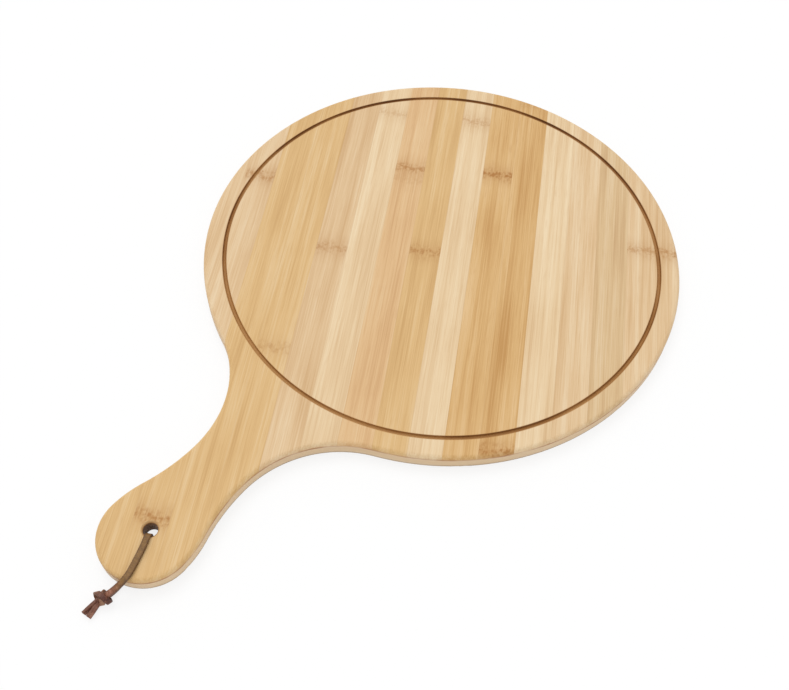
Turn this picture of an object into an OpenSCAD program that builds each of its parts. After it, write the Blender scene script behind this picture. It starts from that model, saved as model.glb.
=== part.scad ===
// Round bamboo serving board with a handle, a juice groove and a leather hanging lace.
// Three plies of edge-glued bamboo staves: the face and back staves run along the grain, and the
// core staves run across it. The board lies on a table at z = 0, and the origin is the middle of
// its footprint. The lace passes under the handle's end, so it props that end up a little.

/* [Board] */
// Diameter of the round serving area
disc_d = 300; // [294:1:306]
// Length of the whole board, from the rim to the handle's end
board_l = 429; // [420:1:432]
// Thickness of each of the three plies
ply_t = 3.5; // [3.4:0.1:4.5]
// Radius of the round-over along the upper edge
top_round = 2.5; // [2:0.1:2.5]
// Radius of the round-over along the lower edge
bottom_round = 1.5; // [1:0.1:2.5]

/* [Handle] */
// Width of the handle at its neck
neck_w = 37; // [34:1:42]
// Width of the round grip at the handle's end
grip_w = 53; // [50:1:58]
// Radius of the hollow between the disc and the neck
shoulder_r = 68; // [60:1:75]
// Radius of the flatter sides of the grip
flank_r = 65; // [55:1:75]
// Diameter of the lace hole
hole_d = 8; // [7.6:0.2:9]
// Distance from the hole's centre to the handle's end
hole_from_end = 29.5; // [29:0.5:30]
// Width of the chamfer at both rims of the hole
hole_chamfer = 1; // [0.9:0.1:1.3]

/* [Juice groove] */
// Diameter of the groove's centreline
groove_d = 274; // [250:1:276]
// Width of the round-bottomed groove
groove_w = 2.4; // [1.5:0.1:4]
// Depth of the groove, at least half its width
groove_depth = 1.6; // [1.2:0.1:2.2]

/* [Bamboo staves] */
// Width of each glued stave
stave_w = 19.5; // [19.3:0.1:20]
// Direction of the grain on the face, turned from the handle's axis
grain_lean = 30.4; // [29:0.1:30.8]
// Shift of the face's joint lines from the disc's centre
face_shift = -0.5; // [-1:0.1:0.5]
// Shift of the core's joint lines from the disc's centre
core_shift = -6; // [-7:0.5:-5]

/* [Hanging lace] */
// Width of the flat leather lace
lace_w = 3.4; // [3:0.1:3.5]
// Thickness of the lace
lace_t = 1.6; // [1.2:0.1:1.6]

/* [Hidden] */
$fn = 180;
disc_r = disc_d / 2;
end_y = disc_r - board_l;

function flip(p) = [-p.x, p.y];

// Outline: centres of the tangent arcs on the right-hand side, from the disc to the handle's end.
shoulder_y = -sqrt((disc_r + shoulder_r)^2 - (neck_w / 2 + shoulder_r)^2);
shoulder_c = [neck_w / 2 + shoulder_r, shoulder_y];
end_r = grip_w / 2;
end_c = [0, end_y + end_r];
flank_c = [end_r - flank_r, end_c.y];
widening = (grip_w - neck_w) / 2;
neck_drop = shoulder_y - flank_c.y;
neck_r = ((flank_r - widening)^2 + neck_drop^2 - flank_r^2) / (2 * widening);
neck_c = [neck_w / 2 + neck_r, shoulder_y];

// Where the lines from the flanks' centres to the neck's centres cross, in the middle of the grip.
grip_crossing = [0, neck_c.y + (flank_c.y - neck_c.y) * neck_c.x / (neck_c.x - flank_c.x)];

hole_c = [0, end_y + hole_from_end];
hole_r = hole_d / 2;

// Grain: along is the direction of the face's fibres, and across is square to it.
grain = 90 + grain_lean;
along = [cos(grain), sin(grain)];
across = [sin(grain), -cos(grain)];

// Staves: joint lines lie at whole stave widths from a line by the disc's centre.
grip_left = end_c * across - end_r;
face_first = floor((min(-disc_r, grip_left) - face_shift) / stave_w);
face_count = ceil((disc_r - face_shift) / stave_w) - face_first;
function joint(i) = (face_first + i) * stave_w + face_shift;
// The left shoulder cuts the outer staves in two, one piece in the disc and one in the grip.
shoulder_left = flip(shoulder_c);
hollow_across = shoulder_left * across + shoulder_r;
hollow_along = shoulder_left * along;
split_count = len([for (i = [0:face_count - 1]) if (joint(i + 1) < hollow_across) i]);
core_low = end_c * along - end_r;
core_first = floor((core_low - core_shift) / stave_w);
core_count = floor((disc_r - core_shift) / stave_w) - core_first;
function core_joint(i) = (core_first + i) * stave_w + core_shift;

// Rest: the lace lifts the handle's end, and the board stands on it and on its far rim.
lace_gap = 0.2;
pivot = [disc_r - bottom_round, bottom_round];
tilt = atan((lace_t + lace_gap) / (pivot.x - hole_c.y));
footprint_y = board_l / 2 - disc_r;

// Tones of the face staves from left to right: 0 pale, 1 honey, 2 gold.
tones = ["#e7cba0", "#dcb98a", "#d3a871"];
face_tones = [0, 0, 1, 1, 1, 0, 2, 1, 0, 2, 2, 0, 0, 1, 1, 0];
core_tone = "#cda673";
leather = "#7d5a34";
knot_leather = "#6b4228";

// Routes of the lace's two strands from the middle of the hole to their tails: x to the right and
// y away from the handle's end, both from the hole's centre, and z up from the table.
over_route = [
    [1.3, -2.1, 7], [1.3, -2.1, 9], [1.3, -2.1, 10.4], [1.5, -2.5, 11.6], [1.9, -3.2, 12.8],
    [2.5, -4.3, 13.4], [3.3, -5.9, 13.5], [5.1, -10, 13.4], [7.4, -16, 13.4], [9.2, -21, 13.5],
    [10.2, -24.2, 13.6], [10.6, -26.2, 13.7], [10.7, -28.1, 13.4], [10.4, -30, 12.5], [9.7, -32, 11],
    [8.7, -34.2, 9.2], [7.4, -36.6, 7.2], [6.3, -38.6, 5.8], [5.5, -40.2, 5], [4.8, -41.8, 4.4],
    [4.3, -43.5, 3.8], [3.6, -47, 2.7], [3.2, -51.2, 1.9]
];
under_route = [
    [1.3, -2.1, 7], [1.3, -2.1, 5], [1.3, -2.1, 3.4], [1.5, -2.5, 2.1], [1.9, -3.4, 1.1], [2.4, -5, 0.8],
    [3.4, -9, 0.8], [4.2, -15, 0.8], [4.7, -22, 0.8], [5.1, -27, 0.8], [5.6, -31, 1.2], [5.9, -34, 2],
    [5.9, -36.4, 2.6], [5.8, -38.4, 2.9], [5.7, -40, 3.1], [5.6, -41.8, 3.2], [5.5, -43.5, 3.1],
    [6, -47, 2.4], [6.6, -51, 1.9]
];
// Direction of the lace's width in the hole, and the turn that stands its tails on edge. The turn
// is shared out over the rings in the knot, which the last whole rings of a tail follow.
first_axis = [cos(30), sin(30), 0];
tail_turn = 75;
knot_rings = 4;
tail_rings = 3;
lace_at = [hole_c.x, hole_c.y + footprint_y, 0];
// The knot: its middle from the hole's centre, its width, and the cord of its turns, which lie
// a little way into its heart.
knot_c = [5.3, -39.8, 4.1];
knot_d = 8;
knot_cord = 2.2;
knot_sink = 0.2;

// A move in two steps, whole tenths first, which keeps a derived place exact to the last digit.
module at(place) {
    tenths = [for (c = place) round(10 * c) / 10];
    translate(tenths) translate(place - tenths) children();
}

// A ply's section from the middle of a round part of the outline to its edge, which is rounded
// by a bit at the top. Where the edge is hollow, the wood lies outside the arc instead.
module section(r, bit, hollow) {
    difference() {
        at([hollow ? r : 0, 0]) square([hollow ? board_l : r, ply_t]);
        if (bit > 0) at([hollow ? r + bit : r - bit, ply_t - bit]) difference() {
            translate([hollow ? -bit - 1 : 0, 0]) square(bit + 1);
            circle(bit, $fn = 48);
        }
    }
}

module turned(centre, r, bit, hollow = false) {
    at(centre) rotate_extrude() section(r, bit, hollow);
}

// The wood between a pair of arcs, one on each side of the handle.
module between_arcs(corners, centre, r, bit, hollow) {
    intersection() {
        linear_extrude(ply_t) polygon(corners);
        turned(centre, r, bit, hollow);
        turned(flip(centre), r, bit, hollow);
    }
}

// One whole ply, in parts that meet where one arc of the outline runs into the next.
module ply(bit) {
    shoulders = [[0, 0], shoulder_left, shoulder_c];
    difference() {
        turned([0, 0], disc_r, bit);
        translate([0, 0, -1]) linear_extrude(ply_t + 2) polygon(shoulders);
    }
    between_arcs(shoulders, shoulder_c, shoulder_r, bit, true);
    between_arcs([neck_c, flip(neck_c), grip_crossing], neck_c, neck_r, bit, true);
    below = [neck_c.x, end_c.y];
    between_arcs([grip_crossing, flip(neck_c), flip(below), below, neck_c], flank_c, flank_r, bit, false);
    translate(end_c) rotate(180) rotate_extrude(angle = 180) section(end_r, bit, false);
}

// The lace hole through one ply, with its rim bevelled at the top of an outer ply.
module hole(bevelled) {
    translate([hole_c.x, hole_c.y, -1]) cylinder(r = hole_r, h = ply_t + 2);
    if (bevelled) translate([hole_c.x, hole_c.y, ply_t - hole_chamfer])
        cylinder(r1 = hole_r, r2 = hole_r + 2 * hole_chamfer, h = 2 * hole_chamfer);
}

// A ring with a half-round bottom, cut with a ball-nosed bit.
module groove() {
    translate([0, 0, ply_t - groove_depth + groove_w / 2]) rotate_extrude() {
        translate([groove_d / 2, 0]) circle(groove_w / 2, $fn = 24);
        translate([groove_d / 2 - groove_w / 2, 0]) square([groove_w, groove_depth]);
    }
}

// The part of a ply between two joint lines, and between two ends along them.
module stave(from, to, angle, bit, low = -board_l, high = board_l) {
    hole_at = hole_c * [sin(angle), -cos(angle)];
    reach = hole_r + hole_chamfer;
    difference() {
        intersection() {
            ply(bit);
            rotate(angle - 90) translate([from, low, -1]) cube([to - from, high - low, ply_t + 2]);
        }
        if (from - reach < hole_at && hole_at < to + reach) hole(bit > 0);
    }
}

// From the board's own frame to the way it rests on the table and on its lace.
module at_rest() {
    translate([0, footprint_y + pivot.x, pivot.y]) rotate([-tilt, 0, 0]) translate([0, -pivot.x, -pivot.y])
        children();
}

// The outer staves of the face and the back are two pieces where the left shoulder parts them.
module outer_stave(i, bit, grip_side) {
    low = i < split_count && !grip_side ? hollow_along : -board_l;
    high = grip_side ? hollow_along : board_l;
    stave(joint(i), joint(i + 1), grain, bit, low, high);
}

module face_stave(i, grip_side = false) {
    color(tones[face_tones[i % len(face_tones)]]) at_rest() translate([0, 0, 2 * ply_t]) difference() {
        outer_stave(i, top_round, grip_side);
        if (!grip_side) groove();
    }
}

module back_stave(i, grip_side = false) {
    color(tones[face_tones[(i + 5) % len(face_tones)]]) at_rest()
        translate([0, 0, ply_t]) mirror([0, 0, 1]) outer_stave(i, bottom_round, grip_side);
}

module core_stave(i) {
    color(core_tone) at_rest() translate([0, 0, ply_t])
        stave(core_joint(i), core_joint(i + 1), grain + 90, 0);
}

// A flat band swept along a route. Each ring's width axis is the last one's, turned no more than
// the route turns, so the band's width stays level up to the knot, where it turns on edge.
function unit(v) = v / norm(v);
function heading_at(route, i) =
    unit(route[min(i + 1, len(route) - 1)] - route[max(i - 1, 0)]);
function square_to(v, t) = unit(v - (v * t) * t);
function width_axes(route, last, i = 0) =
    i == len(route) ? [] :
    let (axis = square_to(last, heading_at(route, i)))
    concat([axis], width_axes(route, axis, i + 1));
function tail_share(route, i) =
    min(1, max(0, (i - len(route) + tail_rings + knot_rings) / knot_rings));
function band_section(w, t) =
    let (x = w / 2, y = t / 2, c = t / 4)
    [[x, y - c], [x - c, y], [c - x, y], [-x, y - c], [-x, c - y], [c - x, -y], [x - c, -y], [x, c - y]];

module band(route) {
    section = band_section(lace_w, lace_t);
    sides = len(section);
    axes = width_axes(route, first_axis);
    points = [for (i = [0:len(route) - 1])
        let (t = heading_at(route, i), n = cross(axes[i], t), turn = tail_turn * tail_share(route, i))
        let (wide = axes[i] * cos(turn) + n * sin(turn), thick = n * cos(turn) - axes[i] * sin(turn))
        for (p = section) route[i] + p.x * wide + p.y * thick];
    walls = [for (i = [0:len(route) - 2], j = [0:sides - 1])
        let (a = i * sides + j, b = i * sides + (j + 1) % sides)
        each [[a, b, b + sides], [a, b + sides, a + sides]]];
    caps = [[for (j = [sides - 1:-1:0]) j], [for (j = [0:sides - 1]) (len(route) - 1) * sides + j]];
    polyhedron(points, concat(caps, walls), convexity = 6);
}

module lace_over() {
    color(leather) translate(lace_at) band(over_route);
}

module lace_under() {
    color(leather) translate(lace_at) band(under_route);
}

// The overhand knot that ties both strands together: a round heart under two crossing turns.
module lace_knot() {
    color(knot_leather) translate(lace_at + knot_c) {
        sphere(knot_d / 2 - knot_cord / 2);
        for (lean = [-28, 24]) rotate([0, 0, lean]) rotate([90, 0, 0]) rotate_extrude()
            translate([knot_d / 2 - knot_cord / 2 - knot_sink, 0]) circle(knot_cord / 2, $fn = 24);
    }
}

for (i = [0:face_count - 1])
    face_stave(i);
for (i = [0:split_count - 1])
    face_stave(i, true);
for (i = [0:core_count - 1])
    core_stave(i);
for (i = [0:face_count - 1])
    back_stave(i);
for (i = [0:split_count - 1])
    back_stave(i, true);
lace_over();
lace_under();
lace_knot();
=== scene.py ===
# %% [markdown]
# # A round bamboo serving board with a leather hanging lace
# The board is glued up from bamboo staves in three plies, cut to a round shape with a handle,
# rounded along its edges and grooved for juice. A flat leather lace hangs from the handle. The
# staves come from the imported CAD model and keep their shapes. This lesson gives them bamboo that
# looks like bamboo, and models the lace and its knot.

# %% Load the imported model
import math
import random

import bpy
from mathutils import Euler, Matrix, Vector


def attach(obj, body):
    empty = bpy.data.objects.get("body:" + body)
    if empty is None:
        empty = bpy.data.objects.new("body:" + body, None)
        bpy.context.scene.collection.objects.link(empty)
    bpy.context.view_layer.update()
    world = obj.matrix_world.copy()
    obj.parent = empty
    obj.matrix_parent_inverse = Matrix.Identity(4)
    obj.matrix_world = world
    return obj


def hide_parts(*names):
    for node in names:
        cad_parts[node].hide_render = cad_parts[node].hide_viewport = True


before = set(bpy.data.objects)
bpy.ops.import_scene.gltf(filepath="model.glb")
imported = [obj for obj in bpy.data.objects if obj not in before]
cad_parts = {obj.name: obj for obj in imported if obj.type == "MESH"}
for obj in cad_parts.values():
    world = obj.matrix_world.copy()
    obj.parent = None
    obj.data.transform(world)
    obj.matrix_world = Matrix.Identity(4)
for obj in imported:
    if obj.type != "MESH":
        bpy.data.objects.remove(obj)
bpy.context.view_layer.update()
MM = 0.001

# %% [markdown]
# The camera stands in front of the handle and to its right, looking steeply down. Its place is
# given by the point that it looks at, a direction and a distance, which are easier to read and to
# change than a matrix. A camera looks along its own -Z axis, so the matrix is built from its
# right, up and backward directions.

# %% Camera
IMAGE_WIDE = 789
FOCAL_LENGTH = 999
LOOK_AT = Vector((21.9, -9.7, 6)) * MM
CAMERA_AZIMUTH = math.radians(-52.46)
CAMERA_ELEVATION = math.radians(56.1)
CAMERA_ROLL = math.radians(2.05)
CAMERA_DISTANCE = 597.4 * MM

level = math.cos(CAMERA_ELEVATION)
backward = Vector((level * math.cos(CAMERA_AZIMUTH), level * math.sin(CAMERA_AZIMUTH),
                   math.sin(CAMERA_ELEVATION)))
level_right = Vector((-math.sin(CAMERA_AZIMUTH), math.cos(CAMERA_AZIMUTH), 0))
level_up = backward.cross(level_right)
right = level_right * math.cos(CAMERA_ROLL) + level_up * math.sin(CAMERA_ROLL)
up = backward.cross(right)

camera_data = bpy.data.cameras.new("camera")
camera_data.sensor_width = 36
camera_data.lens = FOCAL_LENGTH / IMAGE_WIDE * camera_data.sensor_width
camera = bpy.data.objects.new("camera", camera_data)
axes = Matrix((right, up, backward)).transposed().to_4x4()
camera.matrix_world = Matrix.Translation(LOOK_AT + backward * CAMERA_DISTANCE) @ axes
bpy.context.scene.collection.objects.link(camera)
bpy.context.scene.camera = camera
print("Camera stands at, in mm:", [round(x / MM) for x in camera.matrix_world.translation])

# %% [markdown]
# Real sizes come next, in millimetres, as the board's maker would give them. The board lies with
# its far rim on the table, while the lace under the handle lifts the other end by less than two
# millimetres, so the board's own frame is turned a quarter of a degree.

# %% The board's measures
DISC_R = 150
PLY = 3.5
BOTTOM_ROUND = 1.5
TOP_ROUND = 2.5
GRAIN_LEAN = 30.4
STAVE = 19.5
FACE_SHIFT = -0.5
CORE_SHIFT = -6
FACE_FIRST = -8
CORE_FIRST = -13
GROOVE_R = 137
GROOVE_WIDE = 2.4
HOLE = Vector((0, -185, 0))
HOLE_R = 4
BEVEL = 1
LACE_WIDE = 3.4
LACE_THICK = 1.6
LACE_GAP = 0.2
BOARD_LONG = 429
HOLE_FROM_END = 29.5

rim_rest = DISC_R - BOTTOM_ROUND
hole_from_middle = BOARD_LONG - DISC_R - HOLE_FROM_END
rim_y = rim_rest + hole_from_middle + HOLE.y
board_tilt = math.atan((LACE_THICK + LACE_GAP) / (rim_rest + hole_from_middle))
lay_down = Matrix.Rotation(-board_tilt, 3, "X")
disc_middle = Vector((0, rim_y, BOTTOM_ROUND)) + lay_down @ Vector((0, -rim_rest, -BOTTOM_ROUND))
print("The board's middle on the table, in mm:", [round(x, 2) for x in disc_middle])


# %% [markdown]
# Colours are written as a designer writes them, in sRGB hex, and one function turns them into the
# linear numbers that a shader needs. One more function adds a node: it sets the node's properties,
# gives a colour ramp its stops, and fills each input with a value or with a link from another
# node. Everything below is built from these two.

# %% Helpers for node trees
def colour(hexadecimal):
    parts = [int(hexadecimal[i:i + 2], 16) / 255 for i in (1, 3, 5)]
    return [c / 12.92 if c <= 0.04045 else ((c + 0.055) / 1.055) ** 2.4 for c in parts] + [1]


def add(tree, kind, inputs=(), stops=(), **settings):
    """A new node. An input takes a number, a colour, a socket, or a node's first live output."""
    new = tree.nodes.new(kind)
    for name, value in settings.items():
        setattr(new, name, value)
    for name, value in dict(inputs).items():
        if isinstance(value, bpy.types.Node):
            value = next(socket for socket in value.outputs if socket.enabled)
        if isinstance(value, bpy.types.NodeSocket):
            tree.links.new(value, new.inputs[name])
        else:
            new.inputs[name].default_value = value
    for i, (place, hexadecimal) in enumerate(stops):
        elements = new.color_ramp.elements
        stop = elements[i] if i < len(elements) else elements.new(place)
        stop.position = place
        stop.color = colour(hexadecimal)
    return new


# %% [markdown]
# Bamboo is a grass. A stave is cut from the wall of the cane, so it shows dead straight fibres,
# fine as pencil lines, and a knuckle wherever the cane had a joint: a wavy brown scar right across
# the stave, with a few blots on it and a warm stain around. The knuckle is a small node group,
# because each stave needs one or two, each at its own place. Distances in it are millimetres
# across and along the grain, so the marks come out at their real size of about 8 mm.

# %% Knuckle marks
SCAR_WAVE = 0.14
BLOT_SCALE = 0.42
FLECK_SCALE = Vector((0.75, 0.3, 0.75))
SCAR_SWING = 9.0
SCAR_HALF = 1.5
SCAR_STRENGTH = 0.22
BLOT_REACH = 5
BLOT_STRENGTH = 0.6
FLECK_REACH = 8
FLECK_STRENGTH = 0.5
STAIN_REACH = 15
STAIN_STRENGTH = 0.28


def knuckle_group():
    """A place in mm, the knuckle's place along the grain and its strength give a mask."""
    group = bpy.data.node_groups.new("bamboo knuckle", "ShaderNodeTree")
    for name, kind in (("Place", "Vector"), ("Along", "Float"), ("Strength", "Float")):
        group.interface.new_socket(name, in_out="INPUT", socket_type="NodeSocket" + kind)
    group.interface.new_socket("Mark", in_out="OUTPUT", socket_type="NodeSocketFloat")
    given = add(group, "NodeGroupInput").outputs
    place = given["Place"]
    along = add(group, "ShaderNodeSeparateXYZ", {0: place}).outputs[1]
    waves = add(group, "ShaderNodeTexNoise", {"Vector": place, "Scale": SCAR_WAVE, "Detail": 3.0})
    shift = add(group, "ShaderNodeMath", {0: waves, 1: SCAR_SWING, 2: -SCAR_SWING / 2},
                operation="MULTIPLY_ADD")
    from_line = add(group, "ShaderNodeMath", {0: along, 1: given["Along"]}, operation="SUBTRACT")
    wandered = add(group, "ShaderNodeMath", {0: from_line, 1: shift}, operation="ADD")
    near = add(group, "ShaderNodeMath", {0: wandered}, operation="ABSOLUTE")
    marks = add(group, "ShaderNodeMapRange", {0: near, 1: 0.3, 2: SCAR_HALF, 3: SCAR_STRENGTH, 4: 0.0})
    fleck_place = add(group, "ShaderNodeVectorMath", {0: place, 1: FLECK_SCALE}, operation="MULTIPLY")
    blots = add(group, "ShaderNodeTexNoise", {"Vector": place, "Scale": BLOT_SCALE, "Detail": 1.0})
    flecks = add(group, "ShaderNodeTexNoise", {"Vector": fleck_place, "Scale": 1.0, "Detail": 2.0})
    for noise, reach, strength in ((blots, BLOT_REACH, BLOT_STRENGTH), (flecks, FLECK_REACH, FLECK_STRENGTH)):
        patches = add(group, "ShaderNodeMapRange", {0: noise, 1: 0.46, 2: 0.66, 3: 0.0, 4: strength})
        close = add(group, "ShaderNodeMapRange", {0: near, 1: 0.5, 2: reach, 3: 1.0, 4: 0.0},
                    interpolation_type="SMOOTHSTEP")
        marks = add(group, "ShaderNodeMath", {0: patches, 1: close, 2: marks}, operation="MULTIPLY_ADD")
    stain = add(group, "ShaderNodeMapRange", {0: near, 1: 1.0, 2: STAIN_REACH, 3: STAIN_STRENGTH, 4: 0.0},
                interpolation_type="SMOOTHSTEP")
    marks = add(group, "ShaderNodeMath", {0: marks, 1: stain}, use_clamp=True)
    mark = add(group, "ShaderNodeMath", {0: marks, 1: given["Strength"]}, operation="MULTIPLY")
    add(group, "NodeGroupOutput", {0: mark})
    return group


KNUCKLE = knuckle_group()
print("The knuckle group has", len(KNUCKLE.nodes), "nodes")

# %% [markdown]
# Now the bamboo itself. It is oiled, so it has a low satin gloss, and one stave differs from the
# next because every strip comes from another cane: some pale straw, some honey, some gold. Each
# tone is three colours, for the dark fibres, the ground and the light fibres.
#
# The pattern is laid out in the stave's own directions. One Mapping node turns a place in the
# model into millimetres across the grain, along it, and up from the board's underside, and then
# every noise is stretched along the grain. Fibres are about 0.7 mm wide, softer bands a few
# millimetres wide and clouds about 20. Real fibres are finer, but they wouldn't show in the render.
# The noises are weighted and added, and the sum is moved so that an average place gets the ground
# colour. The same volume of noise runs through the sides, so end grain appears there by itself.

# %% Grain
TONES = {
    "cream": ("#d5b285", "#e5c89e", "#eed7b2"),
    "straw": ("#d0aa7b", "#e0c095", "#e9d0ab"),
    "wheat": ("#caa679", "#dabb8e", "#e4cba6"),
    "honey": ("#caa067", "#dcb67e", "#e5c697"),
    "rose": ("#cb9e6c", "#deb786", "#e5c598"),
    "amber": ("#c29256", "#d8af75", "#e2be8b"),
}
FIBRE_SCALE = Vector((1.5, 0.02, 1.5))
BAND_SCALE = Vector((0.22, 0.004, 0.22))
CLOUD_SCALE = Vector((0.05, 0.012, 0.05))
BUNDLE_SCALE = Vector((2.4, 0.07, 2.4))
# Each layer has a scale, the noise's detail and a weight.
GRAIN_LAYERS = ((FIBRE_SCALE, 3.0, 0.75), (BAND_SCALE, 2.0, 0.9), (CLOUD_SCALE, 1.0, 0.5))
GRAIN_START = 0.5 - sum(weight for _, _, weight in GRAIN_LAYERS) / 2
DARK_AT, GROUND_AT, LIGHT_AT = 0.2, 0.5, 0.78
DASH_STRENGTH = 0.4


def grain(tree, place, tone):
    """Fibres, bands and soft clouds in three colours, with the fine dashes of the cane's bundles.
    Returns the colour and the fibre noise."""
    dark, ground, light = TONES[tone]
    mix, noises = GRAIN_START, []
    for scale, detail, weight in GRAIN_LAYERS:
        stretched = add(tree, "ShaderNodeVectorMath", {0: place, 1: scale}, operation="MULTIPLY")
        noises.append(add(tree, "ShaderNodeTexNoise", {"Vector": stretched, "Scale": 1.0, "Detail": detail}))
        mix = add(tree, "ShaderNodeMath", {0: noises[-1], 1: weight, 2: mix}, operation="MULTIPLY_ADD")
    skin = add(tree, "ShaderNodeValToRGB", {0: mix},
               stops=((DARK_AT, dark), (GROUND_AT, ground), (LIGHT_AT, light)))
    stretched = add(tree, "ShaderNodeVectorMath", {0: place, 1: BUNDLE_SCALE}, operation="MULTIPLY")
    bundle = add(tree, "ShaderNodeTexNoise", {"Vector": stretched, "Scale": 1.0, "Detail": 1.0})
    dashes = add(tree, "ShaderNodeMapRange", {0: bundle, 1: 0.56, 2: 0.72, 3: 0.0, 4: DASH_STRENGTH})
    skin = add(tree, "ShaderNodeMix", {0: dashes, 6: skin, 7: colour(dark)}, data_type="RGBA")
    return skin, noises[0]


# %% [markdown]
# Layers of wear and work, and one layer of painted shade, lie over the grain, each one a mask and a
# colour. A mask could be painted by hand, but here each one follows from a measure: the distance
# from a joint line, the height on the wall, or how level the surface is. The glue lines are barely
# seen, because clear glue only darkens the wood's edge a little. Between its two rounded edges the
# board's wall is sanded end grain, paler and greyer than the oiled face. A thin brown line marks
# where the upper rounding ends, and a grey-brown painted shade runs along the wall's foot, on the
# lower rounding that turns down to the table. How level the surface is comes from its normal,
# whose z is 0 on the wall and 1 or -1 on the board's two faces.

# %% Glue lines, the sanded wall and painted shade at its foot
GLUE_BROWN = "#a87c4c"
GLUE_LINE = 0.05
GLUE_FADE = 0.3
GLUE_STRENGTH = 0.16
WALL_GREY = "#e2caab"
WALL_STRENGTH = 0.7
ARRIS_BROWN = "#a5683a"
ARRIS_AT = 3 * PLY - TOP_ROUND
ARRIS_LINE = 0.3
ARRIS_FADE = 0.9
ARRIS_PATCH = 0.06
ARRIS_FAINT = 0.2
ARRIS_STRONG = 0.85
FOOT_SHADE_BROWN = "#8d7862"
FOOT_LINE = 1.2
FOOT_FADE = 2.6
FOOT_STRENGTH = 0.7
STEEP = 0.15
ROUNDED = 0.6
NEARLY_LEVEL = 0.95
SOFT_INSIDE = 0.1
SOFT_OUTSIDE = 0.5


def glued(tree, skin, across, sides):
    """A faint darker line along the stave's two joints."""
    low, high = sides
    from_low = add(tree, "ShaderNodeMath", {0: across, 1: low}, operation="SUBTRACT")
    from_high = add(tree, "ShaderNodeMath", {0: high, 1: across}, operation="SUBTRACT")
    inside = add(tree, "ShaderNodeMath", {0: from_low, 1: from_high}, operation="MINIMUM")
    glue = add(tree, "ShaderNodeMapRange", {0: inside, 1: GLUE_LINE, 2: GLUE_FADE, 3: GLUE_STRENGTH, 4: 0.0})
    return add(tree, "ShaderNodeMix", {0: glue, 6: skin, 7: colour(GLUE_BROWN)}, data_type="RGBA")


def walled(tree, skin, coords, place, height):
    """Greyer end grain on the wall, a thin brown line along its upper edge, and painted shade along its foot.
    """
    facing = add(tree, "ShaderNodeSeparateXYZ", {0: coords.outputs["Normal"]}).outputs[2]
    levelness = add(tree, "ShaderNodeMath", {0: facing}, operation="ABSOLUTE")
    steep = add(tree, "ShaderNodeMapRange", {0: levelness, 1: STEEP, 2: ROUNDED, 3: 1.0, 4: 0.0})
    below = add(tree, "ShaderNodeMapRange", {
        0: height, 1: ARRIS_AT - SOFT_INSIDE, 2: ARRIS_AT + SOFT_OUTSIDE, 3: WALL_STRENGTH, 4: 0.0})
    wall = add(tree, "ShaderNodeMath", {0: steep, 1: below}, operation="MULTIPLY")
    skin = add(tree, "ShaderNodeMix", {0: wall, 6: skin, 7: colour(WALL_GREY)}, data_type="RGBA")
    # Painted shade: a grey-brown darkening on the lower rounding along the wall's foot, next to the table.
    foot = add(tree, "ShaderNodeMapRange", {0: height, 1: FOOT_LINE, 2: FOOT_FADE, 3: FOOT_STRENGTH, 4: 0.0})
    off_level = add(tree, "ShaderNodeMapRange", {0: levelness, 1: ROUNDED, 2: NEARLY_LEVEL, 3: 1.0, 4: 0.0})
    foot = add(tree, "ShaderNodeMath", {0: foot, 1: off_level}, operation="MULTIPLY")
    skin = add(tree, "ShaderNodeMix", {0: foot, 6: skin, 7: colour(FOOT_SHADE_BROWN)}, data_type="RGBA")
    from_arris = add(tree, "ShaderNodeMath", {0: height, 1: ARRIS_AT}, operation="SUBTRACT")
    from_arris = add(tree, "ShaderNodeMath", {0: from_arris}, operation="ABSOLUTE")
    line = add(tree, "ShaderNodeMapRange", {0: from_arris, 1: ARRIS_LINE, 2: ARRIS_FADE, 3: 1.0, 4: 0.0})
    patches = add(tree, "ShaderNodeTexNoise", {"Vector": place, "Scale": ARRIS_PATCH, "Detail": 2.0})
    strength = add(tree, "ShaderNodeMapRange", {
        0: patches, 1: 0.35, 2: 0.65, 3: ARRIS_FAINT, 4: ARRIS_STRONG})
    line = add(tree, "ShaderNodeMath", {0: line, 1: strength}, operation="MULTIPLY")
    line = add(tree, "ShaderNodeMath", {0: line, 1: steep}, operation="MULTIPLY")
    return add(tree, "ShaderNodeMix", {0: line, 6: skin, 7: colour(ARRIS_BROWN)}, data_type="RGBA")


# %% [markdown]
# The cutter that ran round the groove, and the drill, have scorched the wood. A cutter burns the
# wood where it rubs, so the groove is darkest on its steep walls and in patches a few centimetres
# long. Painted shade darkens the groove further towards one side of the board. The hole is nearly
# black inside, with a paler bevelled rim. Each burn, with the groove's painted shade added in, is
# one number, from which a colour ramp picks the colour.

# %% Scorched groove with painted shade, and the hole
SCORCH = ((0.15, "#b88850"), (0.45, "#a26e36"), (0.75, "#804d1e"), (1.0, "#5c350f"))
SCORCH_PATCH = 0.018
SHADED_SIDE = Vector((math.cos(math.radians(50)), math.sin(math.radians(50)), 0)) / GROOVE_R
BURN_START = -0.46
PATCH_BURN = 1.5
SIDE_SHADE = 0.12
STEEP_BURN = 0.42
CHARRED = ((0.0, "#280e06"), (0.78, "#45200f"), (0.83, "#b3834f"), (0.98, "#d9b583"))
CHAR_INSIDE = 0.6
CHAR_OUTSIDE = 0.3


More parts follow.
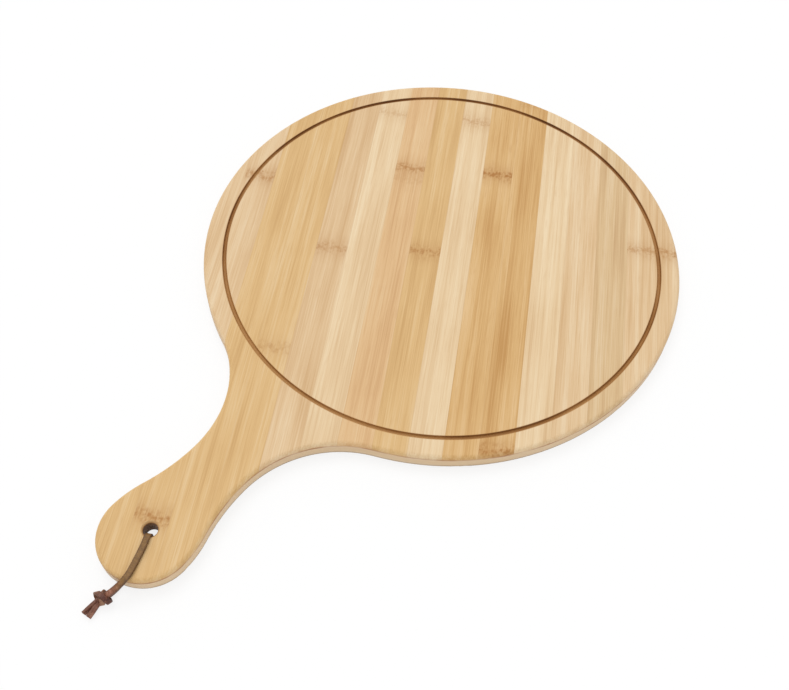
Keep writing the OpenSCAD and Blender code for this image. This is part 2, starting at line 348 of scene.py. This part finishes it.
def scorched(tree, skin, coords, place, across, along):
    """The groove, burnt most on its steep walls and in patches, with painted shade towards one side of the
    board.
    """
    facing = add(tree, "ShaderNodeSeparateXYZ", {0: coords.outputs["Normal"]}).outputs[2]
    steep = add(tree, "ShaderNodeMapRange", {0: facing, 1: 0.3, 2: NEARLY_LEVEL, 3: STEEP_BURN, 4: 0.0})
    level_place = add(tree, "ShaderNodeCombineXYZ", {0: across, 1: along})
    radius = add(tree, "ShaderNodeVectorMath", {0: level_place}, operation="LENGTH")
    side = add(tree, "ShaderNodeVectorMath", {0: level_place, 1: SHADED_SIDE}, operation="DOT_PRODUCT")
    patches = add(tree, "ShaderNodeTexNoise", {"Vector": place, "Scale": SCORCH_PATCH, "Detail": 3.0})
    burn_and_shade = add(tree, "ShaderNodeMath", {0: patches, 1: PATCH_BURN, 2: BURN_START}, operation="MULTIPLY_ADD")
    # Painted shade: the groove is made darker towards one side of the board.
    burn_and_shade = add(tree, "ShaderNodeMath", {0: side, 1: SIDE_SHADE, 2: burn_and_shade}, operation="MULTIPLY_ADD")
    burn_and_shade = add(tree, "ShaderNodeMath", {0: burn_and_shade, 1: steep})
    burnt = add(tree, "ShaderNodeValToRGB", {0: burn_and_shade}, stops=SCORCH)
    from_line = add(tree, "ShaderNodeMath", {0: radius, 1: GROOVE_R}, operation="SUBTRACT")
    from_line = add(tree, "ShaderNodeMath", {0: from_line}, operation="ABSOLUTE")
    inside = add(tree, "ShaderNodeMapRange", {
        0: from_line, 1: GROOVE_WIDE / 2 - SOFT_INSIDE, 2: GROOVE_WIDE / 2 + SOFT_OUTSIDE, 3: 1.0, 4: 0.0})
    return add(tree, "ShaderNodeMix", {0: inside, 6: skin, 7: burnt}, data_type="RGBA")


def charred(tree, skin, coords):
    """The hole's wall, burnt by the drill, and its paler bevelled rim."""
    from_hole = add(tree, "ShaderNodeVectorMath", {0: coords.outputs["Object"], 1: HOLE * MM},
                    operation="SUBTRACT")
    level_only = add(tree, "ShaderNodeVectorMath", {0: from_hole, 1: (1, 1, 0)}, operation="MULTIPLY")
    reach = add(tree, "ShaderNodeVectorMath", {0: level_only}, operation="LENGTH")
    rim = (HOLE_R + BEVEL) * MM
    share = add(tree, "ShaderNodeMapRange", {0: reach, 1: 0.0, 2: rim})
    burnt = add(tree, "ShaderNodeValToRGB", {0: share}, stops=CHARRED)
    inside = add(tree, "ShaderNodeMapRange", {
        0: reach, 1: rim - CHAR_INSIDE * MM, 2: rim + CHAR_OUTSIDE * MM, 3: 1.0, 4: 0.0})
    return add(tree, "ShaderNodeMix", {0: inside, 6: skin, 7: burnt}, data_type="RGBA")


# %% [markdown]
# The whole material puts the layers together for one stave. Its gloss is that of oiled bamboo: a
# roughness of about 0.55, smoother on the hard fibres, and a bump of a few hundredths of a
# millimetre, which is what sanding leaves between hard and soft.

# %% Bamboo
KNUCKLE_BROWN = "#b07a40"
FIBRE_BUMP = 0.05 * MM
# The step in the noise from one stave's cane to the next one's, in mm.
OTHER_CANE = Vector((0, 217, 31))


def bamboo(name, tone, lean, seed, sides, knuckles=(), grooved=False, holed=False):
    """Oiled bamboo for one stave. sides are its two joint lines in mm across the grain, and
    knuckles are pairs of a place along the grain in mm and a strength."""
    made = bpy.data.materials.new(name)
    made.use_nodes = True
    tree = made.node_tree
    shader = tree.nodes["Principled BSDF"]
    coords = add(tree, "ShaderNodeTexCoord")
    turn = (lay_down @ Matrix.Rotation(math.radians(lean), 3, "Z")).to_euler("XYZ")
    place = add(tree, "ShaderNodeMapping", {
        "Location": disc_middle * MM, "Rotation": turn, "Scale": (MM, MM, MM)}, vector_type="TEXTURE")
    tree.links.new(coords.outputs["Object"], place.inputs["Vector"])
    across, along, height = add(tree, "ShaderNodeSeparateXYZ", {0: place}).outputs
    own = add(tree, "ShaderNodeVectorMath", {0: place, 1: OTHER_CANE * seed})

    skin, fibre = grain(tree, own, tone)
    for knuckle_along, strength in knuckles:
        mark = add(tree, "ShaderNodeGroup", node_tree=KNUCKLE)
        tree.links.new(place.outputs[0], mark.inputs["Place"])
        mark.inputs["Along"].default_value = knuckle_along
        mark.inputs["Strength"].default_value = strength
        skin = add(tree, "ShaderNodeMix", {0: mark, 6: skin, 7: colour(KNUCKLE_BROWN)}, data_type="RGBA")
    skin = glued(tree, skin, across, sides)
    skin = walled(tree, skin, coords, place, height)
    if grooved:
        skin = scorched(tree, skin, coords, place, across, along)
    if holed:
        skin = charred(tree, skin, coords)
    tree.links.new(skin.outputs[2], shader.inputs["Base Color"])

    shine = add(tree, "ShaderNodeMapRange", {0: fibre, 1: 0.3, 2: 0.7, 3: 0.5, 4: 0.62})
    tree.links.new(shine.outputs[0], shader.inputs["Roughness"])
    shader.inputs["IOR"].default_value = 1.45
    shader.inputs["Specular IOR Level"].default_value = 0.3
    bump = add(tree, "ShaderNodeBump", {"Height": fibre, "Strength": 0.25, "Distance": FIBRE_BUMP})
    tree.links.new(bump.outputs[0], shader.inputs["Normal"])
    return made


# %% [markdown]
# Each stave gets its own tone and its own knuckles. The lists read from the left-hand stave to the
# right-hand one, the way the eye crosses the board.

# %% Dress the face staves
FACE_TONES = ("straw", "straw", "honey", "honey", "straw", "cream", "rose", "honey",
              "cream", "amber", "amber", "cream", "straw", "wheat", "straw", "straw")
FACE_KNUCKLES = {
    2: ((41, 0.75),), 4: ((-92, 0.45),), 5: ((-12, 0.6),), 6: ((115, 0.35),),
    7: ((65, 0.8), (54, 0.25)), 8: ((-5, 0.75),), 9: ((117, 0.5),), 10: ((69, 1.0),),
    11: ((-139, 0.9), (141, 0.35)), 15: ((20, 0.6),), 16: ((20, 0.8),),
}
GRIP_KNUCKLES = {2: ((-208, 0.9),)}


def assign(node_name, material):
    node_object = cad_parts[node_name]
    node_object.data.materials.clear()
    node_object.data.materials.append(material)


def stave_sides(number, first, shift):
    low = (first + number - 1) * STAVE + shift
    return low, low + STAVE


for number, tone in enumerate(FACE_TONES, start=1):
    sides = stave_sides(number, FACE_FIRST, FACE_SHIFT)
    material = bamboo(f"oiled bamboo, face {number}", tone, GRAIN_LEAN, number, sides,
                      FACE_KNUCKLES.get(number, ()), grooved=True)
    assign(f"face_stave_{number}", material)
for number in (1, 2):
    sides = stave_sides(number, FACE_FIRST, FACE_SHIFT)
    material = bamboo(f"oiled bamboo, grip {number}", "honey", GRAIN_LEAN, number, sides,
                      GRIP_KNUCKLES.get(number, ()), holed=number == 2)
    assign(f"face_grip_stave_{number}", material)

# %% [markdown]
# The core is hidden but for its edge, so one honey tone does for it. Its staves run across the
# others, so they show end grain where the face shows its long side. The back has no order that
# anyone chose, so its tones and knuckles come from a seeded random source, which gives the same
# board on each run.

# %% Dress the core and the back
BACK_TONES = ("straw", "straw", "honey", "honey", "amber", "cream")
rng = random.Random(7)
for number in range(1, 22):
    sides = stave_sides(number, CORE_FIRST, CORE_SHIFT)
    material = bamboo(f"bamboo core {number}", "honey", GRAIN_LEAN + 90, 40 + number, sides,
                      holed=number == 3)
    assign(f"core_stave_{number}", material)
for number in range(1, 17):
    sides = stave_sides(number, FACE_FIRST, FACE_SHIFT)
    tone = rng.choice(BACK_TONES)
    knuckles = ((rng.uniform(-130, 130), rng.uniform(0.4, 0.9)),)
    material = bamboo(f"oiled bamboo, back {number}", tone, GRAIN_LEAN, 80 + number, sides, knuckles)
    assign(f"back_stave_{number}", material)
    if number < 3:
        material = bamboo(f"oiled bamboo, back grip {number}", tone, GRAIN_LEAN, 100 + number, sides,
                          holed=number == 2)
        assign(f"back_grip_stave_{number}", material)
print("Bamboo materials:", len(bpy.data.materials))

# %% [markdown]
# The lace is one flat strip of leather, 3.4 mm wide, threaded through the hole. One half comes up
# and runs over the grip and down past its end, the other runs below, and an overhand knot joins
# them. Behind the knot the tails stand on edge. A curve with a bevel would twist where the route
# turns upright, so the strip is swept by hand: a rounded section is carried along a smooth route,
# and its width axis turns no more than the route does. The points of each route are given, x and
# y from the hole's middle and z from the table, and a Catmull-Rom spline rounds them.

# %% Routes of the lace
OVER_ROUTE = [
    (1.3, -2.1, 7), (1.3, -2.1, 9), (1.3, -2.1, 10.4), (1.5, -2.5, 11.6), (1.9, -3.2, 12.8),
    (2.5, -4.3, 13.4), (3.3, -5.9, 13.5), (5.1, -10, 13.4), (7.4, -16, 13.4), (9.2, -21, 13.5),
    (10.2, -24.2, 13.6), (10.6, -26.2, 13.7), (10.7, -28.1, 13.4), (10.4, -30, 12.5), (9.7, -32, 11),
    (8.7, -34.2, 9.2), (7.4, -36.6, 7.2), (6.3, -38.6, 5.8), (5.5, -40.2, 5), (4.8, -41.8, 4.4),
    (4.3, -43.5, 3.8), (3.6, -47, 2.7), (3.2, -51.2, 1.9),
]
UNDER_ROUTE = [
    (1.3, -2.1, 7), (1.3, -2.1, 5), (1.3, -2.1, 3.4), (1.5, -2.5, 2.1), (1.9, -3.4, 1.1), (2.4, -5, 0.8),
    (3.4, -9, 0.8), (4.2, -15, 0.8), (4.7, -22, 0.8), (5.1, -27, 0.8), (5.6, -31, 1.2), (5.9, -34, 2),
    (5.9, -36.4, 2.6), (5.8, -38.4, 2.9), (5.7, -40, 3.1), (5.6, -41.8, 3.2), (5.5, -43.5, 3.1),
    (6, -47, 2.4), (6.6, -51, 1.9),
]
FIRST_WIDTH = Vector((math.cos(math.radians(30)), math.sin(math.radians(30)), 0))
TAIL_TURN = math.radians(75)
KNOT_RINGS = 4
TAIL_RINGS = 3


def smooth_route(points, step=0.5):
    """A Catmull-Rom spline with a point about every step, and each point's share of the list."""
    points = [Vector(p) for p in points]
    ends = [2 * points[0] - points[1]] + points + [2 * points[-1] - points[-2]]
    route, shares = [], []
    for number, (before, start, end, after) in enumerate(zip(ends, ends[1:], ends[2:], ends[3:])):
        count = max(1, round((end - start).length / step))
        for i in range(count):
            t = i / count
            shares.append(number + t)
            route.append(0.5 * (2 * start + (end - before) * t
                                + (2 * before - 5 * start + 4 * end - after) * t ** 2
                                + (3 * start - before - 3 * end + after) * t ** 3))
    return route + [points[-1]], shares + [len(points) - 1]


def tail_turns(points, shares):
    """How far the strip is turned on edge at each point: not at all before the knot, and fully
    behind it."""
    flat_until = len(points) - TAIL_RINGS - KNOT_RINGS
    return [TAIL_TURN * min(1, max(0, (share - flat_until) / KNOT_RINGS)) for share in shares]


def route_length(route):
    return sum((b - a).length for a, b in zip(route, route[1:]))


over_route, over_shares = smooth_route([HOLE + Vector(p) for p in OVER_ROUTE])
under_route, under_shares = smooth_route([HOLE + Vector(p) for p in UNDER_ROUTE])
print("Strands over and under, in mm:", round(route_length(over_route)), round(route_length(under_route)))


# %% [markdown]
# A cut leather strip has square edges that wear round. The section is therefore a rectangle with
# small corner arcs. Every ring gets a UV place, in millimetres across and along the strip, so the
# leather's grain and its darker cut edges follow every bend.

# %% Sweep a strip along a route
CORNER = 0.35
CORNER_STEPS = 3


def strip_section():
    """The outline of the strip's section."""
    outline = []
    for quarter in range(4):
        middle = Vector(((LACE_WIDE / 2 - CORNER) * (1, -1, -1, 1)[quarter],
                         (LACE_THICK / 2 - CORNER) * (1, 1, -1, -1)[quarter]))
        for i in range(CORNER_STEPS + 1):
            angle = math.radians(90 * (quarter + i / CORNER_STEPS))
            outline.append(middle + CORNER * Vector((math.cos(angle), math.sin(angle))))
    return outline


def swept_strip(name, route, turns):
    """A closed mesh of the section swept along the route, in metres, with a UV map in mm."""
    section = strip_section()
    count, rings = len(section), len(route)
    vertices, distances = [], []
    level_width, travelled = FIRST_WIDTH, 0
    for i, (centre, turn) in enumerate(zip(route, turns)):
        before, after = route[max(i - 1, 0)], route[min(i + 1, rings - 1)]
        heading = (after - before).normalized()
        level_width = (level_width - level_width.dot(heading) * heading).normalized()
        square = level_width.cross(heading)
        wide = level_width * math.cos(turn) + square * math.sin(turn)
        thick = square * math.cos(turn) - level_width * math.sin(turn)
        vertices += [(centre + p.x * wide + p.y * thick) * MM for p in section]
        travelled += (centre - before).length
        distances.append(travelled)
    faces = []
    for ring in range(rings - 1):
        for j in range(count):
            a, b = ring * count + j, ring * count + (j + 1) % count
            faces.append((a, a + count, b + count, b))
    faces.append(tuple(range(count)))
    faces.append(tuple(reversed(range((rings - 1) * count, rings * count))))
    mesh = bpy.data.meshes.new(name)
    mesh.from_pydata(vertices, [], faces)
    uv = mesh.uv_layers.new(name="UVMap")
    for loop in mesh.loops:
        ring, j = divmod(loop.vertex_index, count)
        uv.data[loop.index].uv = (section[j].x, distances[ring])
    mesh.polygons.foreach_set("use_smooth", [len(face) == 4 for face in faces])
    mesh.update()
    made = bpy.data.objects.new(name, mesh)
    bpy.context.scene.collection.objects.link(made)
    print(name, "has", len(faces), "faces")
    return made


over_strand = swept_strip("lace_over_strand", over_route, tail_turns(OVER_ROUTE, over_shares))
under_strand = swept_strip("lace_under_strand", under_route, tail_turns(UNDER_ROUTE, under_shares))

# %% [markdown]
# The lace is vegetable-tanned leather, cut from a hide with a knife: smooth and a little shiny on
# the grain side, darker and rough at the cut edges, and cracked by handling. Tiny creases come from
# a stretched noise, and the edge tint from the distance across the strip in the UV map. Two sets of
# colours share one material, and the distance along the strip says where the second takes over: on
# the lace, where hands have made it redder near its end, and on the knot, whose first turn is a
# little lighter and whose second turn is dark.

# %% Leather
HIDE = ((0.25, "#573a18"), (0.5, "#7d5824"), (0.75, "#956d3a"))
HANDLED_HIDE = ((0.25, "#562b1c"), (0.5, "#8c5740"), (0.75, "#b3826a"))
HANDLED_STRETCH = (33, 42)
KNOT_HIDE = ((0.3, "#6a4028"), (0.5, "#94664a"), (0.7, "#b08a6c"))
SECOND_TURN_HIDE = ((0.3, "#2c0f07"), (0.5, "#5c2e1e"), (0.7, "#86543c"))
SECOND_TURN_STRETCH = (20, 27)
EDGE_BROWN = "#47281a"
EDGE_FADE = 1.0
EDGE_STRENGTH = 0.55
PORE_SCALE = 2.6
PATCH_SCALE = 0.35
CREASE_SCALE = Vector((0.5, 1.8, 0))
CREASE_BUMP = 0.15 * MM


def leather(name, hide, handled_hide, stretch):
    """Leather whose second set of colours takes over along a stretch of the strip, in mm."""
    made = bpy.data.materials.new(name)
    made.use_nodes = True
    tree = made.node_tree
    shader = tree.nodes["Principled BSDF"]
    strip_place = add(tree, "ShaderNodeUVMap", uv_map="UVMap")
    from_middle, along, _ = add(tree, "ShaderNodeSeparateXYZ", {0: strip_place}).outputs
    coords = add(tree, "ShaderNodeTexCoord")
    place = add(tree, "ShaderNodeVectorMath", {0: coords.outputs["Object"], "Scale": 1 / MM},
                operation="SCALE")
    pores = add(tree, "ShaderNodeTexNoise", {"Vector": place, "Scale": PORE_SCALE, "Detail": 4.0})
    patches = add(tree, "ShaderNodeTexNoise", {"Vector": place, "Scale": PATCH_SCALE, "Detail": 2.0})
    stretched = add(tree, "ShaderNodeVectorMath", {0: strip_place, 1: CREASE_SCALE}, operation="MULTIPLY")
    creases = add(tree, "ShaderNodeTexNoise", {"Vector": stretched, "Scale": 1.0, "Detail": 2.0})
    mix = add(tree, "ShaderNodeMath", {0: pores, 1: 0.5, 2: -0.3}, operation="MULTIPLY_ADD")
    mix = add(tree, "ShaderNodeMath", {0: patches, 1: 0.6, 2: mix}, operation="MULTIPLY_ADD")
    mix = add(tree, "ShaderNodeMath", {0: creases, 1: 0.5, 2: mix}, operation="MULTIPLY_ADD")
    skin = add(tree, "ShaderNodeValToRGB", {0: mix}, stops=hide)
    handled_skin = add(tree, "ShaderNodeValToRGB", {0: mix}, stops=handled_hide)
    handled = add(tree, "ShaderNodeMapRange", {0: along, 1: stretch[0], 2: stretch[1]})
    skin = add(tree, "ShaderNodeMix", {0: handled, 6: skin, 7: handled_skin}, data_type="RGBA")
    from_middle = add(tree, "ShaderNodeMath", {0: from_middle}, operation="ABSOLUTE")
    edge = add(tree, "ShaderNodeMapRange", {
        0: from_middle, 1: LACE_WIDE / 2 - EDGE_FADE, 2: LACE_WIDE / 2, 3: 0.0, 4: EDGE_STRENGTH})
    skin = add(tree, "ShaderNodeMix", {0: edge, 6: skin, 7: colour(EDGE_BROWN)}, data_type="RGBA")
    tree.links.new(skin.outputs[2], shader.inputs["Base Color"])
    worn = add(tree, "ShaderNodeMapRange", {0: pores, 1: 0.3, 2: 0.7, 3: 0.48, 4: 0.7})
    tree.links.new(worn.outputs[0], shader.inputs["Roughness"])
    bump = add(tree, "ShaderNodeBump", {"Height": mix, "Strength": 0.6, "Distance": CREASE_BUMP})
    tree.links.new(bump.outputs[0], shader.inputs["Normal"])
    return made


lace_leather = leather("vegetable-tanned leather, cut strip", HIDE, HANDLED_HIDE, HANDLED_STRETCH)
for strand in (over_strand, under_strand):
    strand.data.materials.append(lace_leather)
knot_leather = leather("vegetable-tanned leather, tight knot", KNOT_HIDE, SECOND_TURN_HIDE, SECOND_TURN_STRETCH)

# %% [markdown]
# The overhand knot takes nearly two turns round both strands. Seen from above, the strip comes up
# on one side, crosses over, dives under, and crosses over itself again the other way, so that two
# diagonal bands make an X with a lobe on each side. That follows a rule, so Geometry Nodes make
# it: a line is bent into a ring round the strands, which leans first one way and then the other,
# and grows by the strip's thickness for its second turn. The strip's section is then carried along
# it, with its flat side outwards.

# %% The knot
KNOT_MIDDLE = HOLE + Vector((5.3, -39.8, 4.1))
TAILS_WAY = Vector((-0.25, -1, 0))
KNOT_POINTS = 90
KNOT_SIZES = {
    "First Angle": math.radians(-70), "Last Angle": math.radians(610), "Side": 2.7, "Rise": 2.1,
    "Lean": 2.2, "Strap Width": 2.9, "Strap Thickness": 1.3, "Corner": CORNER,
}


def knot_group():
    """The strap of the knot, in mm, with its turns round the Y axis."""
    tree = bpy.data.node_groups.new("overhand knot", "GeometryNodeTree")
    for name in KNOT_SIZES:
        tree.interface.new_socket(name, in_out="INPUT", socket_type="NodeSocketFloat")
    tree.interface.new_socket("Material", in_out="INPUT", socket_type="NodeSocketMaterial")
    tree.interface.new_socket("Strap", in_out="OUTPUT", socket_type="NodeSocketGeometry")
    sizes = add(tree, "NodeGroupInput").outputs

    share = add(tree, "GeometryNodeSplineParameter")
    angle = add(tree, "ShaderNodeMapRange", {0: share, 3: sizes["First Angle"], 4: sizes["Last Angle"]})
    grown = add(tree, "ShaderNodeMapRange", {0: angle, 1: math.radians(180), 2: math.radians(400), 3: 0.0,
                                             4: sizes["Strap Thickness"]}, interpolation_type="SMOOTHSTEP")
    side = add(tree, "ShaderNodeMath", {0: sizes["Side"], 1: grown})
    rise = add(tree, "ShaderNodeMath", {0: sizes["Rise"], 1: grown})
    cosine = add(tree, "ShaderNodeMath", {0: angle}, operation="COSINE")
    sine = add(tree, "ShaderNodeMath", {0: angle}, operation="SINE")
    half = add(tree, "ShaderNodeMath", {0: angle, 1: 0.5, 2: -math.pi / 4}, operation="MULTIPLY_ADD")
    leaning = add(tree, "ShaderNodeMath", {0: half}, operation="SINE")
    x = add(tree, "ShaderNodeMath", {0: side, 1: cosine}, operation="MULTIPLY")
    y = add(tree, "ShaderNodeMath", {0: leaning, 1: sizes["Lean"]}, operation="MULTIPLY")
    z = add(tree, "ShaderNodeMath", {0: rise, 1: sine}, operation="MULTIPLY")
    place = add(tree, "ShaderNodeCombineXYZ", {0: x, 1: y, 2: z})
    line = add(tree, "GeometryNodeCurvePrimitiveLine")
    line = add(tree, "GeometryNodeResampleCurve", {"Curve": line, "Count": KNOT_POINTS})
    ring = add(tree, "GeometryNodeSetPosition", {"Geometry": line, "Position": place})

    out_x = add(tree, "ShaderNodeMath", {0: rise, 1: cosine}, operation="MULTIPLY")
    out_z = add(tree, "ShaderNodeMath", {0: side, 1: sine}, operation="MULTIPLY")
    outward = add(tree, "ShaderNodeCombineXYZ", {0: out_x, 2: out_z})
    heading = add(tree, "GeometryNodeInputTangent")
    wide = add(tree, "ShaderNodeVectorMath", {0: outward, 1: heading}, operation="CROSS_PRODUCT")
    wide = add(tree, "ShaderNodeVectorMath", {0: wide}, operation="NORMALIZE")
    ring = add(tree, "GeometryNodeSetCurveNormal", {"Curve": ring, "Normal": wide}, mode="FREE")
    rail = add(tree, "GeometryNodeCaptureAttribute", {"Geometry": ring}, domain="POINT")
    rail.capture_items.new("FLOAT", "along")
    tree.links.new(share.outputs["Length"], rail.inputs["along"])

    section = add(tree, "GeometryNodeCurvePrimitiveQuadrilateral", {
        "Width": sizes["Strap Width"], "Height": sizes["Strap Thickness"]})
    section = add(tree, "GeometryNodeFilletCurve", {
        "Curve": section, "Count": CORNER_STEPS, "Radius": sizes["Corner"]}, mode="POLY")
    section = add(tree, "GeometryNodeCaptureAttribute", {"Geometry": section}, domain="POINT")
    section.capture_items.new("VECTOR", "across")
    tree.links.new(add(tree, "GeometryNodeInputPosition").outputs[0], section.inputs["across"])

    strap = add(tree, "GeometryNodeCurveToMesh", {"Curve": rail, "Profile Curve": section, "Fill Caps": True})
    across = add(tree, "ShaderNodeSeparateXYZ", {0: section.outputs["across"]})
    on_strap = add(tree, "ShaderNodeCombineXYZ", {0: across, 1: rail.outputs["along"]})
    strap = add(tree, "GeometryNodeStoreNamedAttribute", {
        "Geometry": strap, "Name": "UVMap", "Value": on_strap}, data_type="FLOAT2", domain="CORNER")
    strap = add(tree, "GeometryNodeRealizeInstances", {"Geometry": strap})
    strap = add(tree, "GeometryNodeSetMaterial", {"Geometry": strap, "Material": sizes["Material"]})
    add(tree, "NodeGroupOutput", {0: strap})
    return tree


knot = bpy.data.objects.new("lace_overhand_knot", bpy.data.meshes.new("lace_overhand_knot"))
bpy.context.scene.collection.objects.link(knot)
modifier = knot.modifiers.new("strap", "NODES")
modifier.node_group = knot_group()
for item in modifier.node_group.interface.items_tree:
    if item.in_out == "INPUT":
        modifier[item.identifier] = KNOT_SIZES.get(item.name, knot_leather)
depsgraph = bpy.context.evaluated_depsgraph_get()
knot.data = bpy.data.meshes.new_from_object(knot.evaluated_get(depsgraph), preserve_all_data_layers=True,
                                            depsgraph=depsgraph)
knot.modifiers.clear()
turn = Matrix.Rotation(math.atan2(-TAILS_WAY.x, TAILS_WAY.y), 4, "Z")
knot.data.transform(Matrix.Translation(KNOT_MIDDLE * MM) @ turn @ Matrix.Scale(MM, 4))
knot.data.polygons.foreach_set("use_smooth", [True] * len(knot.data.polygons))
knot.data.update()
print("The knot has", len(knot.data.polygons), "faces, its lowest point in mm is",
      round(min(v.co.z for v in knot.data.vertices) / MM, 2))

# %% Join the lace to its body
for piece, node_name in ((over_strand, "lace_over"), (under_strand, "lace_under"), (knot, "lace_knot")):
    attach(piece, "lace")
    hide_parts(node_name)

# %% [markdown]
# A plain white floor and a white surround keep the eye on the board. The light is soft and comes
# from nearly everywhere, as in a light tent, with a little more from above and the left. What the
# camera sees past the board is white, and so is what a glossy surface mirrors, while the light
# that falls on the board stays at a plain level. The floor keeps a share of its real shading, so
# that a faint shadow stays.

# %% Floor and light
FLOOR_HALF = 2
SHADOW_SHARE = 0.18
TENT_LIGHT = 0.75
SUN_LIGHT = 0.95
SUN_WIDTH = math.radians(35)
SUN_TURN = Euler((math.radians(-12), math.radians(-28), 0))


def seen_directly(tree):
    """1 for what the camera sees, straight or mirrored, and 0 for the light on the object."""
    ray = add(tree, "ShaderNodeLightPath").outputs
    seen = add(tree, "ShaderNodeMath", {0: ray["Is Camera Ray"], 1: ray["Is Glossy Ray"]},
               operation="MAXIMUM")
    return add(tree, "ShaderNodeMath", {0: seen, 1: ray["Is Transmission Ray"]}, operation="MAXIMUM")


floor_mesh = bpy.data.meshes.new("floor")
corners = [(x * FLOOR_HALF, y * FLOOR_HALF, 0) for x, y in ((-1, -1), (1, -1), (1, 1), (-1, 1))]
floor_mesh.from_pydata(corners, [], [(0, 1, 2, 3)])
floor = bpy.data.objects.new("floor", floor_mesh)
bpy.context.scene.collection.objects.link(floor)
paper = bpy.data.materials.new("white paper sweep")
paper.use_nodes = True
tree = paper.node_tree
tree.nodes.remove(tree.nodes["Principled BSDF"])
matt = add(tree, "ShaderNodeBsdfDiffuse", {"Color": (1, 1, 1, 1)})
glow = add(tree, "ShaderNodeEmission", {"Strength": 1.0})
glow_share = add(tree, "ShaderNodeMath", {0: seen_directly(tree), 1: 1 - SHADOW_SHARE}, operation="MULTIPLY")
both = add(tree, "ShaderNodeMixShader", {0: glow_share, 1: matt, 2: glow})
tree.links.new(both.outputs[0], tree.nodes["Material Output"].inputs[0])
floor_mesh.materials.append(paper)

world = bpy.data.worlds.new("light tent")
world.use_nodes = True
bpy.context.scene.world = world
tree = world.node_tree
white = add(tree, "ShaderNodeMapRange", {0: seen_directly(tree), 3: TENT_LIGHT, 4: 1.0})
tree.nodes["Background"].inputs["Color"].default_value = (1, 1, 1, 1)
tree.links.new(white.outputs[0], tree.nodes["Background"].inputs["Strength"])

sun_data = bpy.data.lights.new("soft overhead light", "SUN")
sun_data.energy = SUN_LIGHT
sun_data.angle = SUN_WIDTH
sun = bpy.data.objects.new("soft overhead light", sun_data)
sun.rotation_euler = SUN_TURN
bpy.context.scene.collection.objects.link(sun)
bpy.context.scene.view_settings.view_transform = "Standard"
